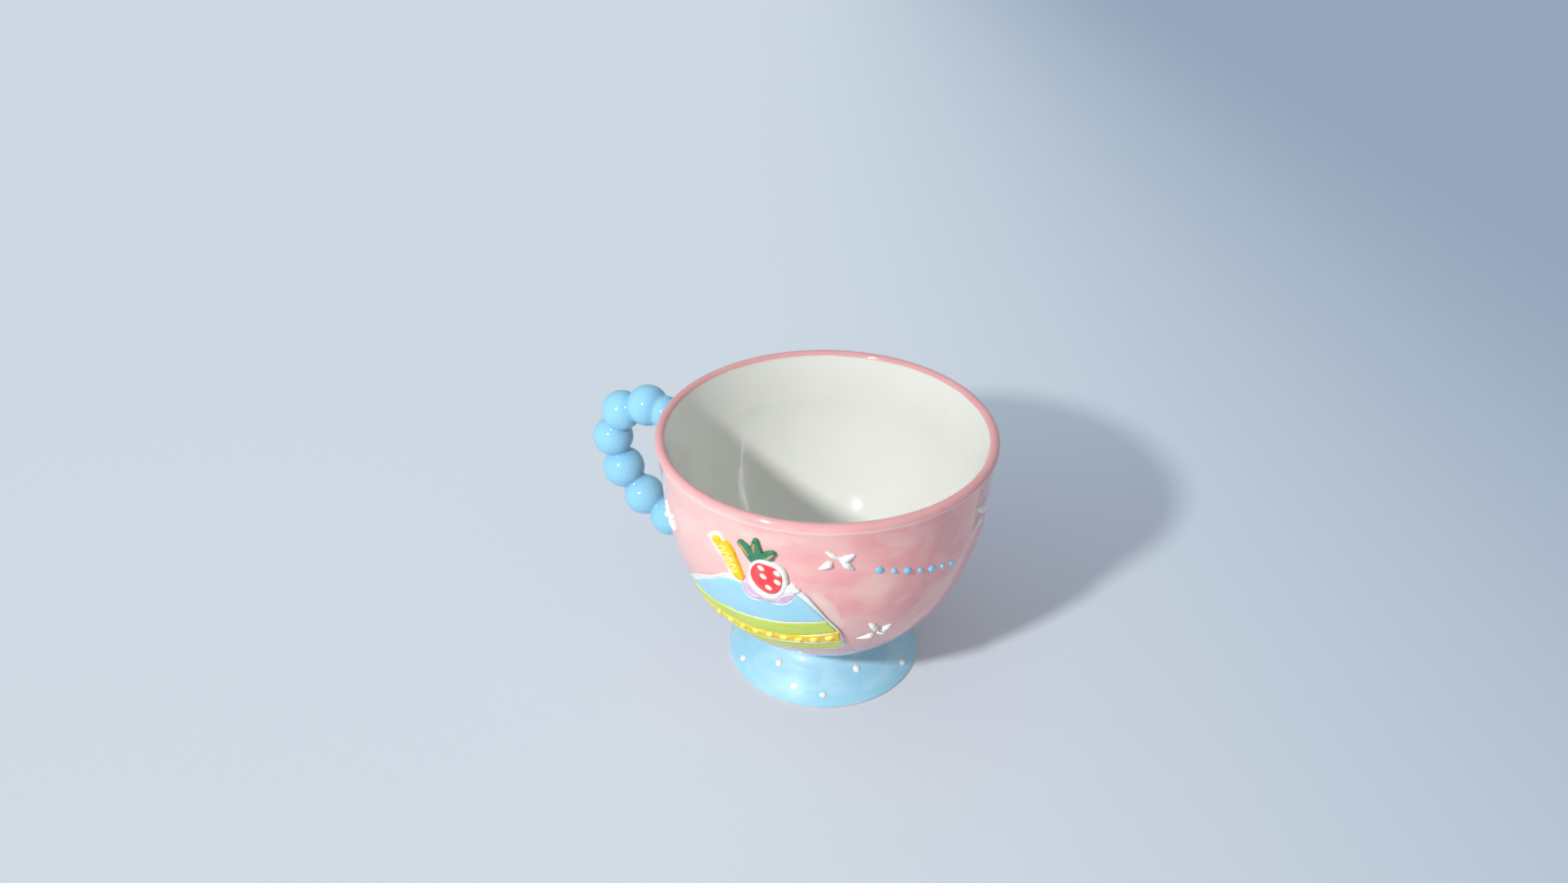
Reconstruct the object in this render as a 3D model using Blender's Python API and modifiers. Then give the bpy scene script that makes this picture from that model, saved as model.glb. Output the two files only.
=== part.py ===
"""A footed ceramic cup with a beaded handle and a raised slice of cake on its wall.

Units are metres and +Z is up. The cup stands on z = 0 with its axis on the Z axis, the
handle points along -X and the raised slice faces -Y. The cup is one fired piece, so its
bowl, foot, handle and raised work are fused into one solid.
"""

import math

import bmesh
import bpy
from mathutils import Matrix, Vector
from mathutils.geometry import interpolate_bezier

# Bowl
HEIGHT = 0.0960
LIP_RADIUS = 0.0580
LIP_THICKNESS = 0.0034
BELLY_RADIUS = 0.0563
BELLY_HEIGHT = 0.0780
BOWL_DROP = 0.0685
FLARE_START = 0.0840
WALL = 0.0038
FLOOR_THICKENING = 0.0035
FLOOR_THICKENING_POWER = 4

# Foot
FOOT_RADIUS = 0.0358
FOOT_EDGE = 0.0008
SKIRT_TOP_RADIUS = 0.0249
SKIRT_TOP_HEIGHT = 0.0112
NECK_PULL_RADIUS = 0.0205
NECK_PULL_HEIGHT = 0.0152
NECK_BOWL_HEIGHT = 0.0170

# Turned shape
TURN_STEPS = 60
INNER_STEPS = 9
OUTER_STEPS = 10
FLARE_STEPS = 3
LIP_STEPS = 6
NECK_STEPS = 3

# Handle: its beads as (reach from the axis, height, radius), from the upper root to the lower one
BEADS = (
    (0.0592, 0.0853, 0.0058), (0.0634, 0.0862, 0.0061), (0.0707, 0.0874, 0.0077),
    (0.0823, 0.0826, 0.0076), (0.0873, 0.0703, 0.0077), (0.0838, 0.0573, 0.0080),
    (0.0754, 0.0468, 0.0077), (0.0644, 0.0399, 0.0077), (0.0534, 0.0343, 0.0072),
    (0.0440, 0.0300, 0.0064),
)
BEAD_NECK_RADIUS = 0.0049
BEAD_SOFTNESS = 6
BEAD_RINGS = 8
BEAD_END_RINGS = 4
BEAD_END_ANGLE = 86
HANDLE_SIDES_RESOLUTION = 4

# Raised work, with azimuths in degrees round the axis from +X and heights above the table
GRID = 0.0055
PLATE_DEPTH = 0.0014
BLOB_SEGMENTS = 8
BLOB_RINGS = 4
SLICE_RISE = 0.0010
SLICE_CORNERS = (
    (-122.2, 0.0554), (-118.0, 0.0484), (-107.8, 0.0405), (-97.0, 0.0382), (-83.9, 0.0382),
    (-70.0, 0.0388), (-59.3, 0.0406), (-61.2, 0.0492), (-65.6, 0.0573), (-70.1, 0.0647),
    (-75.7, 0.0700), (-85.7, 0.0698), (-95.4, 0.0694), (-100.3, 0.0700), (-109.0, 0.0645),
)
ICING_RISE = 0.0014
ICING_CORNERS = (
    (-118.5, 0.0569), (-112.2, 0.0534), (-103.0, 0.0541), (-94.0, 0.0546), (-80.4, 0.0557),
    (-67.1, 0.0580), (-71.5, 0.0647), (-76.2, 0.0686), (-85.5, 0.0681), (-95.0, 0.0679),
    (-99.8, 0.0683), (-108.0, 0.0634),
)
CREAM_RISE = 0.0015
CREAM_CORNERS = (
    (-110.1, 0.0499), (-102.8, 0.0462), (-95.5, 0.0445), (-77.6, 0.0449), (-61.5, 0.0470),
    (-62.9, 0.0510), (-77.3, 0.0483), (-93.8, 0.0472), (-102.0, 0.0480), (-109.0, 0.0507),
)
BERRY = (-85.6, 0.0734, 0.0081, 0.0071, 0.0025, 100)
DOLLOPS = (
    (-90.5, 0.0657, 0.0048, 0.0030, 0.0020, 145),
    (-79.3, 0.0670, 0.0044, 0.0028, 0.0020, 25),
)
WAFER = (-99.8, 0.0773, 0.0098, 0.0026, 0.0016, 126)
LEAVES = (
    (-92.6, 0.0824, 0.0044, 0.0017, 0.0010, 124),
    (-89.0, 0.0841, 0.0042, 0.0018, 0.0011, 91),
    (-84.6, 0.0823, 0.0036, 0.0016, 0.0010, 40),
)
FLOWERS = (
    (-63.6, 0.0826, 8), (-48.0, 0.0476, -4), (-4.0, 0.0795, 20), (-133.0, 0.0742, 0),
    (48.0, 0.0530, 12), (84.0, 0.0790, -10), (126.0, 0.0560, 25), (-158.0, 0.0400, 5),
)
PETAL_TURNS = (35, 145, 215, 318)
PETAL_REACH = 0.0042
PETAL_HALF_SIZES = (0.0027, 0.0013, 0.0011)
PETAL_TAPER = 0.35

# Beads of glaze in a row on the wall, and the dots round the foot
ROW_DOTS = 7
ROW_START = (-50.2, 0.0774)
ROW_END = (-20.9, 0.0684)
ROW_DOT_RADIUS = 0.0013
ROW_SMALL_DOT_RADIUS = 0.0009
FOOT_DOTS = 11
FOOT_DOT_START = -135.0
FOOT_DOT_SHIFTS = (5.0, 0.0, 2.7, -4.2, -1.0, 1.5)
FOOT_DOT_LOW = 0.0042
FOOT_DOT_HIGH = 0.0092
FOOT_DOT_RADIUS = 0.0013
DOT_SINK = 0.35

SHARP_ANGLE = math.radians(40)


def clear_scene():
    """Remove everything that the scene holds."""
    for thing in list(bpy.data.objects):
        bpy.data.objects.remove(thing, do_unlink=True)


def new_collection(name):
    """Make a collection in the scene."""
    collection = bpy.data.collections.new(name)
    bpy.context.scene.collection.children.link(collection)
    return collection


def glaze(name, colour, roughness=0.12):
    """Make a glossy ceramic glaze of one colour."""
    material = bpy.data.materials.new(name)
    material.use_nodes = True
    shader = material.node_tree.nodes["Principled BSDF"]
    shader.inputs["Base Color"].default_value = (*colour, 1.0)
    shader.inputs["Roughness"].default_value = roughness
    shader.inputs["Metallic"].default_value = 0.0
    return material


def add_object(name, mesh, collection, material):
    """Put a mesh in the scene as an object with one material."""
    mesh.materials.append(material)
    thing = bpy.data.objects.new(name, mesh)
    collection.objects.link(thing)
    return thing


def evaluated_mesh(thing):
    """Return a thing's mesh with its modifiers applied."""
    bpy.context.view_layer.update()
    graph = bpy.context.evaluated_depsgraph_get()
    return bpy.data.meshes.new_from_object(thing.evaluated_get(graph), depsgraph=graph)


def wall_radius(height):
    """Radius of the bowl's outside: an ellipse below the belly, a cubic flare at the lip."""
    below = max(BELLY_HEIGHT - height, 0.0) / BOWL_DROP
    lip_height = HEIGHT - LIP_THICKNESS / 2
    flare = max(height - FLARE_START, 0.0) / (lip_height - FLARE_START)
    lip_stand = LIP_RADIUS - BELLY_RADIUS
    return BELLY_RADIUS * math.sqrt(1 - below**2) + lip_stand * flare**3


def skirt_radius(height):
    """Radius of the foot's straight skirt."""
    share = (SKIRT_TOP_HEIGHT - height) / (SKIRT_TOP_HEIGHT - FOOT_EDGE)
    return SKIRT_TOP_RADIUS + (FOOT_RADIUS - SKIRT_TOP_RADIUS) * share


def inner_point(turn):
    """A point of the bowl's inside, square to the outer ellipse at this angle below the belly."""
    cosine, sine = math.cos(turn), math.sin(turn)
    normal = Vector((cosine / BELLY_RADIUS, -sine / BOWL_DROP)).normalized()
    thickness = WALL + FLOOR_THICKENING * sine**FLOOR_THICKENING_POWER
    outer = Vector((BELLY_RADIUS * cosine, BELLY_HEIGHT - BOWL_DROP * sine))
    return outer - normal * thickness


def body_profile():
    """Section of bowl and foot as (radius, height), from the inner floor over the lip to the base."""
    lip_height = HEIGHT - LIP_THICKNESS / 2
    lip_centre = LIP_RADIUS - LIP_THICKNESS / 2
    flare_heights = [
        FLARE_START + (lip_height - FLARE_START) * step / FLARE_STEPS for step in range(FLARE_STEPS)
    ]
    inner = [inner_point(math.radians(90) * (1 - step / INNER_STEPS)) for step in range(INNER_STEPS + 1)]
    inner[0] = Vector((0.0, inner[0].y))
    inner += [Vector((wall_radius(height) - WALL, height)) for height in flare_heights]
    lip = []
    for step in range(LIP_STEPS + 1):
        turn = math.pi * (1 - step / LIP_STEPS)
        spoke = Vector((math.cos(turn), math.sin(turn))) * LIP_THICKNESS / 2
        lip.append(Vector((lip_centre, lip_height)) + spoke)
    outer = [Vector((wall_radius(height), height)) for height in reversed(flare_heights)]
    last_turn = math.asin((BELLY_HEIGHT - NECK_BOWL_HEIGHT) / BOWL_DROP)
    for step in range(OUTER_STEPS + 1):
        height = BELLY_HEIGHT - BOWL_DROP * math.sin(last_turn * step / OUTER_STEPS)
        outer.append(Vector((wall_radius(height), height)))
    pull = Vector((NECK_PULL_RADIUS, NECK_PULL_HEIGHT))
    skirt_top = Vector((SKIRT_TOP_RADIUS, SKIRT_TOP_HEIGHT))
    neck = []
    for step in range(1, NECK_STEPS + 1):
        share = step / NECK_STEPS
        neck.append(outer[-1].lerp(pull, share).lerp(pull.lerp(skirt_top, share), share))
    foot = [
        Vector((FOOT_RADIUS, FOOT_EDGE)),
        Vector((FOOT_RADIUS - FOOT_EDGE / 3, FOOT_EDGE / 3)),
        Vector((FOOT_RADIUS - FOOT_EDGE, 0.0)),
        Vector((0.0, 0.0)),
    ]
    return inner + lip + outer + neck + foot


def make_body(collection, material):
    """Turn the section round the axis."""
    mesh = bpy.data.meshes.new("body section")
    points = [(point.x, 0.0, point.y) for point in body_profile()]
    mesh.from_pydata(points, [(index, index + 1) for index in range(len(points) - 1)], [])
    section = bpy.data.objects.new("body section", mesh)
    collection.objects.link(section)
    turn = section.modifiers.new("turn", "SCREW")
    turn.axis = "Z"
    turn.steps = TURN_STEPS
    turn.render_steps = TURN_STEPS
    turn.use_merge_vertices = True
    turn.merge_threshold = 0.00001
    body = add_object("cup", evaluated_mesh(section), collection, material)
    bpy.data.objects.remove(section)
    return body


def chain_line(centres):
    """The smooth line through the beads' centres, as the points from each bead to the next."""
    before = centres[:1] + centres
    after = centres[1:] + centres[-1:]
    pulls = [(end - start) / 6 for start, end in zip(before, after)]
    spans = []
    for index in range(len(centres) - 1):
        start, end = centres[index], centres[index + 1]
        knots = (start, start + pulls[index], end - pulls[index + 1], end)
        spans.append(interpolate_bezier(*knots, BEAD_RINGS + 1))
    return spans


def end_rings(centre, neighbour, radius):
    """Rings of a round end of the chain as (point, radius), from the bead's centre outwards."""
    outward = (centre - neighbour).normalized()
    rings = []
    for step in range(1, BEAD_END_RINGS + 1):
        turn = math.radians(BEAD_END_ANGLE) * step / BEAD_END_RINGS
        rings.append((centre + outward * radius * math.sin(turn), radius * math.cos(turn)))
    return rings


def chain_rings():
    """Rings of the chain as (point, radius): spheres that run softly into thick necks."""
    centres = [Vector((-reach, 0.0, height)) for reach, height, _ in BEADS]
    radii = [bead[2] for bead in BEADS]
    rings = end_rings(centres[0], centres[1], radii[0])[::-1]
    for index, span in enumerate(chain_line(centres)):
        for point in span[bool(index):]:
            reaches = [radii[bead]**2 - (point - centres[bead]).length_squared for bead in (index, index + 1)]
            sphere = math.sqrt(max(*reaches, 0.0))
            softened = sphere**BEAD_SOFTNESS + BEAD_NECK_RADIUS**BEAD_SOFTNESS
            rings.append((point, softened ** (1 / BEAD_SOFTNESS)))
    return rings + end_rings(centres[-1], centres[-2], radii[-1])


def make_handle(collection, material):
    """Make the beaded handle as one tube whose radius follows its beads."""
    rings = chain_rings()
    widest = max(radius for _, radius in rings)
    curve = bpy.data.curves.new("handle line", "CURVE")
    curve.dimensions = "3D"
    curve.bevel_depth = widest
    curve.bevel_resolution = HANDLE_SIDES_RESOLUTION
    curve.use_fill_caps = True
    spline = curve.splines.new("POLY")
    spline.points.add(len(rings) - 1)
    for knot, (point, radius) in zip(spline.points, rings):
        knot.co = (*point, 1.0)
        knot.radius = radius / widest
    line = bpy.data.objects.new("handle line", curve)
    collection.objects.link(line)
    mesh = evaluated_mesh(line)
    weld = bmesh.new()
    weld.from_mesh(mesh)
    bmesh.ops.remove_doubles(weld, verts=weld.verts, dist=0.000001)
    bmesh.ops.recalc_face_normals(weld, faces=weld.faces)
    weld.to_mesh(mesh)
    weld.free()
    bpy.data.objects.remove(line)
    return add_object("handle", mesh, collection, material)


def surface_frame(azimuth, height, radius_at):
    """Matrix of a place on the outside: X runs round the cup, Y up the surface and Z outwards."""
    turn = math.radians(azimuth)
    step = 0.0005
    outward = Vector((math.cos(turn), math.sin(turn), 0.0))
    around = Vector((-math.sin(turn), math.cos(turn), 0.0))
    slope = (radius_at(height + step) - radius_at(height - step)) / (2 * step)
    up = (outward * slope + Vector((0.0, 0.0, 1.0))).normalized()
    normal = around.cross(up)
    place = outward * radius_at(height) + Vector((0.0, 0.0, height))
    return Matrix.Translation(place) @ Matrix((around, up, normal)).transposed().to_4x4()


def make_blob(name, frame, half_sizes, collection, material, taper=0.0):
    """Make a rounded raised shape: an ellipsoid in the surface's frame, narrower towards +X."""
    shape = bmesh.new()
    bmesh.ops.create_uvsphere(shape, u_segments=BLOB_SEGMENTS, v_segments=BLOB_RINGS, radius=1.0)
    for vert in shape.verts:
        vert.co.y *= 1 - taper * vert.co.x
    bmesh.ops.transform(shape, matrix=frame @ Matrix.Diagonal((*half_sizes, 1.0)), verts=shape.verts)
    mesh = bpy.data.meshes.new(name)
    shape.to_mesh(mesh)
    shape.free()
    return add_object(name, mesh, collection, material)


def make_relief(name, place, collection, material):
    """Make one rounded raised shape: azimuth, height, half length, half width, rise and turn."""
    azimuth, height, half_length, half_width, rise, turn = place
    frame = surface_frame(azimuth, height, wall_radius) @ Matrix.Rotation(math.radians(turn), 4, "Z")
    return make_blob(name, frame, (half_length, half_width, rise), collection, material)


def cut_in_grid(plate):
    """Cut a flat plate along a square grid, so that it can bend round the wall."""
    for axis in (Vector((1.0, 0.0, 0.0)), Vector((0.0, 1.0, 0.0))):
        places = [vert.co.dot(axis) for vert in plate.verts]
        for line in range(math.ceil(min(places) / GRID), math.floor(max(places) / GRID) + 1):
            parts = plate.verts[:] + plate.edges[:] + plate.faces[:]
            bmesh.ops.bisect_plane(plate, geom=parts, plane_co=axis * GRID * line, plane_no=axis)


def make_plate(name, corners, rise, collection, material):
    """Make a raised plate that follows the wall, from its corners as (azimuth, height)."""
    plate = bmesh.new()
    flat = [(math.radians(azimuth) * BELLY_RADIUS, height, 0.0) for azimuth, height in corners]
    plate.faces.new([plate.verts.new(corner) for corner in flat])
    cut_in_grid(plate)
    bmesh.ops.triangulate(plate, faces=plate.faces)
    extruded = bmesh.ops.extrude_face_region(plate, geom=plate.faces[:])
    raised = {part for part in extruded["geom"] if isinstance(part, bmesh.types.BMVert)}
    for vert in plate.verts:
        frame = surface_frame(math.degrees(vert.co.x / BELLY_RADIUS), vert.co.y, wall_radius)
        vert.co = frame @ Vector((0.0, 0.0, rise if vert in raised else -PLATE_DEPTH))
    bmesh.ops.triangulate(plate, faces=plate.faces)
    bmesh.ops.recalc_face_normals(plate, faces=plate.faces)
    mesh = bpy.data.meshes.new(name)
    plate.to_mesh(mesh)
    plate.free()
    return add_object(name, mesh, collection, material)


def make_slice(collection, colours):
    """Make the raised slice: cake, icing, cream, dollops, berry with its leaves, and wafer."""
    make_plate("cake", SLICE_CORNERS, SLICE_RISE, collection, colours["cake"])
    make_plate("icing", ICING_CORNERS, ICING_RISE, collection, colours["blue"])
    make_plate("cream", CREAM_CORNERS, CREAM_RISE, collection, colours["yellow"])
    make_relief("wafer", WAFER, collection, colours["yellow"])
    for place in DOLLOPS:
        make_relief("dollop", place, collection, colours["lilac"])
    for place in LEAVES:
        make_relief("leaf", place, collection, colours["green"])
    make_relief("berry", BERRY, collection, colours["red"])


def make_flowers(collection, material):
    """Make the four-petalled flowers, each turned a little."""
    for azimuth, height, lean in FLOWERS:
        centre = surface_frame(azimuth, height, wall_radius)
        for petal_turn in PETAL_TURNS:
            turn = math.radians(petal_turn + lean)
            reach = Vector((math.cos(turn), math.sin(turn), 0.0)) * PETAL_REACH
            place = centre @ reach
            petal_azimuth = math.degrees(math.atan2(place.y, place.x))
            frame = surface_frame(petal_azimuth, place.z, wall_radius) @ Matrix.Rotation(turn, 4, "Z")
            make_blob("petal", frame, PETAL_HALF_SIZES, collection, material, PETAL_TAPER)


def make_dot(name, azimuth, height, radius, radius_at, collection, material):
    """Make one round dot, sunk a little in the surface."""
    frame = surface_frame(azimuth, height, radius_at) @ Matrix.Translation((0.0, 0.0, -radius * DOT_SINK))
    make_blob(name, frame, (radius, radius, radius), collection, material)


def make_dots(collection, colours):
    """Make the row of dots on the wall and the two staggered rings of dots on the foot."""
    for index in range(ROW_DOTS):
        share = index / (ROW_DOTS - 1)
        azimuth = ROW_START[0] + (ROW_END[0] - ROW_START[0]) * share
        height = ROW_START[1] + (ROW_END[1] - ROW_START[1]) * share
        radius = ROW_SMALL_DOT_RADIUS if index % 2 else ROW_DOT_RADIUS
        make_dot("row dot", azimuth, height, radius, wall_radius, collection, colours["blue"])
    for index in range(FOOT_DOTS):
        shift = FOOT_DOT_SHIFTS[index % len(FOOT_DOT_SHIFTS)]
        azimuth = FOOT_DOT_START + 360 * index / FOOT_DOTS + shift
        height = FOOT_DOT_HIGH if index % 2 else FOOT_DOT_LOW
        make_dot("foot dot", azimuth, height, FOOT_DOT_RADIUS, skirt_radius, collection, colours["white"])


def fuse(body, pieces):
    """Join every piece of a collection to the body, as one solid, and remove the pieces."""
    join = body.modifiers.new("join", "BOOLEAN")
    join.operation = "UNION"
    join.operand_type = "COLLECTION"
    join.collection = pieces
    join.solver = "EXACT"
    join.material_mode = "TRANSFER"
    mesh = evaluated_mesh(body)
    body.modifiers.remove(join)
    body.data = mesh
    for piece in list(pieces.objects):
        bpy.data.objects.remove(piece)
    bpy.data.collections.remove(pieces)
    mesh.shade_smooth()
    mesh.set_sharp_from_angle(angle=SHARP_ANGLE)


def main():
    """Build the cup."""
    clear_scene()
    colours = {
        "pink": glaze("pink glaze", (0.80, 0.42, 0.44)),
        "blue": glaze("blue glaze", (0.36, 0.70, 0.90)),
        "cake": glaze("lime glaze", (0.55, 0.68, 0.18)),
        "yellow": glaze("yellow glaze", (0.95, 0.68, 0.06)),
        "lilac": glaze("lilac glaze", (0.76, 0.56, 0.72)),
        "red": glaze("red glaze", (0.83, 0.08, 0.09)),
        "green": glaze("leaf glaze", (0.06, 0.26, 0.15)),
        "white": glaze("white glaze", (0.88, 0.88, 0.86)),
    }
    cup = new_collection("footed cup")
    pieces = new_collection("fused pieces")
    body = make_body(cup, colours["pink"])
    make_handle(pieces, colours["blue"])
    make_slice(pieces, colours)
    make_flowers(pieces, colours["white"])
    make_dots(pieces, colours)
    fuse(body, pieces)


main()
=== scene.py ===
"""Looks of a footed ceramic cup with a beaded handle and a raised slice of cake on its wall.

The cup stands on z = 0 with its axis on the Z axis, in metres. Its handle points along -X and
the raised slice faces -Y. One solid of the frame, "cup", is replaced here by the finished
pieces: bowl, foot, handle and raised work, each under its own glaze.

Raised work is drawn flat first, with X running round the wall, Y up it and Z out of it, and
is then wrapped onto the wall. A place on the wall is an azimuth in degrees round the axis,
from +X, and a height above the table.
"""

import logging
import math
from dataclasses import dataclass
from enum import Enum
from typing import Any, Iterable, Sequence

import bpy
import numpy as np
from mathutils import Euler, Matrix, Vector

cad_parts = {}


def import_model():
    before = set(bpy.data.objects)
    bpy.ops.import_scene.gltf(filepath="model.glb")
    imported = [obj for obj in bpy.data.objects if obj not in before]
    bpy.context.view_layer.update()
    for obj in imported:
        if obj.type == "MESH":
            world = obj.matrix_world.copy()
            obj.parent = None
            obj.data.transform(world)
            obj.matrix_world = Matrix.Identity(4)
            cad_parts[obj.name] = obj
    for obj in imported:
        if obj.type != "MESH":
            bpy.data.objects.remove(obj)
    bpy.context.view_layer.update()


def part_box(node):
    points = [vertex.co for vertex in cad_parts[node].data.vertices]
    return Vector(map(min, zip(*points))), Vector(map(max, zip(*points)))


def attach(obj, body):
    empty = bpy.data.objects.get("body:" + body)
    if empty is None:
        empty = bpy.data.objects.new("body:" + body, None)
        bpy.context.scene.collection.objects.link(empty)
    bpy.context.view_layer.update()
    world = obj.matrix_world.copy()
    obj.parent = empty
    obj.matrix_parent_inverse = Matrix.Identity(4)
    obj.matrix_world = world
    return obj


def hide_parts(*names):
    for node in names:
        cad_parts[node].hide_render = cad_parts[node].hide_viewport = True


NODE = "cup"
BODY = "root"
QUARTER = math.radians(90)

Place = tuple[float, float]
Colour = tuple[float, float, float, float]
Thing = bpy.types.Object

log = logging.getLogger("cup")


def srgb(red: float, green: float, blue: float) -> Colour:
    """Turn a colour from screen values of 0 to 255 into the linear values of a shader.

    Args:
        red: Screen value of red.
        green: Screen value of green.
        blue: Screen value of blue.

    Returns:
        The linear colour with full alpha.
    """
    linear = []
    for value in (red, green, blue):
        share = value / 255
        linear.append(share / 12.92 if share <= 0.04045 else ((share + 0.055) / 1.055) ** 2.4)
    return (*linear, 1.0)


class Socket:
    """One output of a shader node. Python's operators on it add Math nodes."""

    def __init__(self, tree: bpy.types.NodeTree, output: bpy.types.NodeSocket) -> None:
        """Keep the output and the tree that it is in."""
        self.tree = tree
        self.output = output

    def math(self, operation: str, *values: "Socket | float") -> "Socket":
        """Add a Math node.

        Args:
            operation: Name of the Math node's operation.
            values: Its inputs, as sockets or numbers.

        Returns:
            The node's result.
        """
        node = self.tree.nodes.new("ShaderNodeMath")
        node.operation = operation
        for entry, value in zip(node.inputs, values):
            connect(self.tree, entry, value)
        return Socket(self.tree, node.outputs[0])

    def __add__(self, other: "Socket | float") -> "Socket":
        """Sum of the two."""
        return self.math("ADD", self, other)

    def __radd__(self, other: float) -> "Socket":
        """Sum of a number and this."""
        return self.math("ADD", other, self)

    def __sub__(self, other: "Socket | float") -> "Socket":
        """Difference of the two."""
        return self.math("SUBTRACT", self, other)

    def __rsub__(self, other: float) -> "Socket":
        """A number less this."""
        return self.math("SUBTRACT", other, self)

    def __mul__(self, other: "Socket | float") -> "Socket":
        """Product of the two."""
        return self.math("MULTIPLY", self, other)

    def __rmul__(self, other: float) -> "Socket":
        """Product of a number and this."""
        return self.math("MULTIPLY", other, self)

    def __truediv__(self, other: "Socket | float") -> "Socket":
        """Quotient of the two."""
        return self.math("DIVIDE", self, other)

    def __rtruediv__(self, other: float) -> "Socket":
        """A number over this."""
        return self.math("DIVIDE", other, self)

    def __abs__(self) -> "Socket":
        """Size without its sign."""
        return self.math("ABSOLUTE", self)

    def clamped(self) -> "Socket":
        """This, kept between 0 and 1."""
        return self.math("MINIMUM", self.math("MAXIMUM", self, 0.0), 1.0)


def connect(tree: bpy.types.NodeTree, entry: bpy.types.NodeSocket, value: Any) -> None:
    """Link a socket to an input, or set the input to a value."""
    if isinstance(value, Socket):
        tree.links.new(value.output, entry)
    else:
        entry.default_value = value


class GlazeNodes:
    """The node tree of one glaze, around a Principled shader."""

    coat_roughness = 0.03

    def __init__(self, name: str) -> None:
        """Start a material that holds the shader and its output."""
        self.material = bpy.data.materials.new(name)
        self.material.use_nodes = True
        self.tree = self.material.node_tree
        self.shader = self.tree.nodes["Principled BSDF"]

    def node(
        self,
        kind: str,
        settings: dict[str, Any] | None = None,
        inputs: dict[int | str, Any] | None = None,
        output: int | str = 0,
    ) -> Socket:
        """Add a node.

        Args:
            kind: The node's type.
            settings: Its properties, set before its sockets.
            inputs: Values or links of its sockets, by name or number.
            output: The output that is wanted, by name or number.

        Returns:
            That output.
        """
        node = self.tree.nodes.new(kind)
        for name, value in (settings or {}).items():
            setattr(node, name, value)
        for name, value in (inputs or {}).items():
            connect(self.tree, node.inputs[name], value)
        return Socket(self.tree, node.outputs[output])

    def place(self) -> Socket:
        """Position on the cup, in metres."""
        return self.node("ShaderNodeTexCoord", output="Object")

    def axes(self) -> tuple[Socket, Socket, Socket]:
        """The three coordinates of the position."""
        place = self.place()
        split = {"Vector": place}
        return tuple(self.node("ShaderNodeSeparateXYZ", inputs=split, output=axis) for axis in "XYZ")

    def noise(
        self,
        size: float,
        detail: float = 2.0,
        stretch: Sequence[float] = (1.0, 1.0, 1.0),
        turn: Sequence[float] = (0.0, 0.0, 0.0),
        distortion: float = 0.0,
        shift: float = 0.0,
    ) -> Socket:
        """Cloudy pattern between 0 and 1.

        Args:
            size: Width of one cloud, in metres.
            detail: How many finer layers it has.
            stretch: How much finer it is along each axis.
            turn: Turn of the pattern, in degrees about each axis.
            distortion: How much it is drawn out of shape.
            shift: Moves the pattern to another part of the noise.

        Returns:
            The pattern's value.
        """
        mapped = self.node(
            "ShaderNodeMapping",
            {"vector_type": "POINT"},
            {
                "Vector": self.place(),
                "Location": (shift, shift, shift),
                "Rotation": tuple(math.radians(angle) for angle in turn),
                "Scale": tuple(stretch),
            },
        )
        settings = {"Vector": mapped, "Scale": 1 / size, "Detail": detail, "Distortion": distortion}
        return self.node("ShaderNodeTexNoise", inputs=settings, output=0)

    def vector(self, operation: str, *values: Any) -> Socket:
        """Add a Vector Math node, which works on all three channels of a colour."""
        return self.node("ShaderNodeVectorMath", {"operation": operation}, dict(enumerate(values)))

    def step(self, value: Socket, start: float, end: float) -> Socket:
        """Smooth rise from 0 at start to 1 at end."""
        inputs = {"Value": value, "From Min": start, "From Max": end}
        return self.node("ShaderNodeMapRange", {"interpolation_type": "SMOOTHSTEP"}, inputs)

    def mix(self, share: Socket | float, first: Socket | Colour, second: Socket | Colour) -> Socket:
        """Blend of two colours, the second one where the share is 1."""
        return self.node(
            "ShaderNodeMix", {"data_type": "RGBA"}, {0: share, 6: first, 7: second}, output=2
        )

    def patch(self, middle: Place, half_sizes: Place, turn: float = 0.0) -> Socket:
        """Soft oval patch on the wall.

        Args:
            middle: Azimuth in degrees and height of its middle.
            half_sizes: Half its length and half its width.
            turn: Its turn in degrees, from lying along the wall.

        Returns:
            1 in its middle and 0 past its uneven edge.
        """
        across, away, height = self.axes()
        around = (away.math("ARCTAN2", away, across) - math.radians(middle[0])) * Wall.belly_radius
        up = height - middle[1]
        cosine = math.cos(math.radians(turn))
        sine = math.sin(math.radians(turn))
        along = (around * cosine + up * sine) / half_sizes[0]
        beside = (up * cosine - around * sine) / half_sizes[1]
        reach = along * along + beside * beside + (self.noise(0.007, 3.0) - 0.5) * 1.8
        return self.step(reach, 1.5, 0.1)

    def attribute(self, name: str) -> Socket:
        """A number that the mesh carries at each of its points."""
        return self.node("ShaderNodeAttribute", {"attribute_name": name}, output="Fac")

    def bump(self, height: Socket, depth: float) -> Socket:
        """Small unevenness of the surface, in metres of depth."""
        return self.node(
            "ShaderNodeBump", inputs={"Height": height, "Distance": depth, "Strength": 1.0}
        )

    def finished(
        self,
        colour: Socket | Colour,
        roughness: Socket | float,
        normal: Socket | None = None,
        coat: Socket | float = 0.0,
    ) -> bpy.types.Material:
        """Give the shader its colour, gloss and surface.

        Args:
            colour: Colour under the gloss.
            roughness: Roughness of the glaze.
            normal: Surface with its unevenness, or none.
            coat: Weight of the clear coat.

        Returns:
            The material.
        """
        connect(self.tree, self.shader.inputs["Base Color"], colour)
        connect(self.tree, self.shader.inputs["Roughness"], roughness)
        connect(self.tree, self.shader.inputs["Coat Weight"], coat)
        self.shader.inputs["Coat Roughness"].default_value = self.coat_roughness
        if normal is not None:
            connect(self.tree, self.shader.inputs["Normal"], normal)
        return self.material


class Shading(Enum):
    """How far a smooth piece may turn at an edge before the edge shows."""

    ROUND = math.radians(80)
    EDGED = math.radians(35)


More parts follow.
